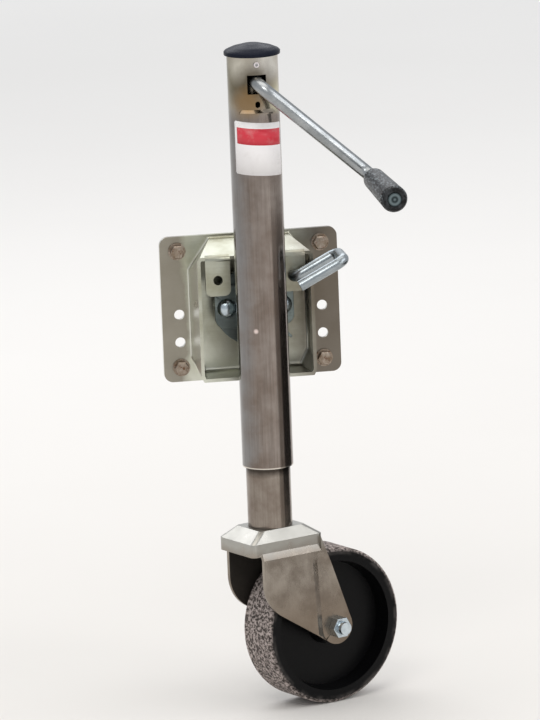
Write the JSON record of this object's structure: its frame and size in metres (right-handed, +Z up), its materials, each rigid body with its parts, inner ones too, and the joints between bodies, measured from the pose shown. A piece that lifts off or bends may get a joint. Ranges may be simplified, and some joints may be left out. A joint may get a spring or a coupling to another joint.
{
  "type": "swing-up trailer tongue jack with caster wheel",
  "caption": "Side-wind tongue jack on a bolt-on swivel bracket: crank at the top, telescoping tube, pull pin to swing it up, swivel caster wheel at the foot.",
  "frame": {"origin": "centre of the four fixing bolts, on the bracket's back face, which lies on the frame rail", "axes": "+X along the rail to the right as seen from the jack's side, +Y back into the rail, +Z up along the tube"},
  "size_m": [0.2218, 0.2705, 0.6759],
  "materials": {
    "bracket_zinc": "satin zinc plating, faint yellow-green tint",
    "spindle_zinc": "dull zinc",
    "index_zinc": "bluish zinc",
    "bright_zinc": "bright zinc",
    "bolt_zinc": "bright bluish zinc",
    "weathered_bolt": "dull plating with light rust",
    "tube_zinc": "satin zinc tube",
    "inner_tube_zinc": "satin zinc tube, lightly greased",
    "rivet_steel": "plain rivet",
    "fork_zinc": "satin zinc pressing",
    "cap_plastic": "black, glossy",
    "grip_plastic": "black, worn",
    "wheel_plastic": "black, the tread dusty"
  },
  "bodies": {
    "bracket": {"mount_bracket": "bracket_zinc", "swivel_spindle": "spindle_zinc", "mount_bolt_1": "weathered_bolt", "mount_bolt_2": "weathered_bolt", "mount_bolt_3": "weathered_bolt", "mount_bolt_4": "weathered_bolt", "mount_washer_1": "weathered_bolt", "mount_washer_2": "weathered_bolt", "mount_washer_3": "weathered_bolt", "mount_washer_4": "weathered_bolt"},
    "lock": {"pull_pin": "bright_zinc"},
    "jack": {"index_plate": "index_zinc", "tube_saddle": "index_zinc", "saddle_bolt_left": "bolt_zinc", "saddle_bolt_right": "bolt_zinc", "outer_tube": "tube_zinc", "top_cap": "cap_plastic", "cap_rivet": "rivet_steel"},
    "crank": {"crank_rod": "bright_zinc"},
    "grip": {"crank_grip": "grip_plastic"},
    "leg": {"inner_tube": "inner_tube_zinc", "king_pin": "spindle_zinc"},
    "caster": {"caster_fork": "fork_zinc", "axle_bolt": "bolt_zinc", "axle_nut": "bolt_zinc", "axle_spacer_near": "bolt_zinc", "axle_spacer_far": "bolt_zinc"},
    "wheel": {"caster_wheel": "wheel_plastic"}
  },
  "joints": [
    {"name": "jack_swing", "type": "hinge", "parent": "bracket", "child": "jack", "pos_m": [0, -0.023, 0.003], "axis": [0, -1, 0], "range_deg": [0, 90]},
    {"name": "pin_pull", "type": "slide", "parent": "bracket", "child": "lock", "axis": [0, -1, 0], "range_m": [0, 0.016], "stiffness_N_per_m": 600, "springref_m": -0.01},
    {"name": "crank_turn", "type": "hinge", "parent": "jack", "child": "crank", "pos_m": [0, -0.078, 0.2415], "axis": [0, -1, 0], "range_deg": [-7086, 28346]},
    {"name": "grip_spin", "type": "hinge", "parent": "crank", "child": "grip", "pos_m": [0.1085, -0.18, 0.14381], "axis": [0, -1, 0], "continuous": true},
    {"name": "leg_slide", "type": "slide", "parent": "jack", "child": "leg", "axis": [0, 0, -1], "range_m": [-0.05, 0.2]},
    {"name": "caster_swivel", "type": "hinge", "parent": "leg", "child": "caster", "pos_m": [0, -0.078, -0.22], "axis": [0, 0, 1], "continuous": true},
    {"name": "wheel_spin", "type": "hinge", "parent": "caster", "child": "wheel", "pos_m": [0.05145, -0.05346, -0.3195], "axis": [0.4305, -0.9026, 0], "continuous": true}
  ],
  "couplings": [
    {"joint": "leg_slide", "follows": "crank_turn", "m_per_rad": 0.00040425}
  ]
}
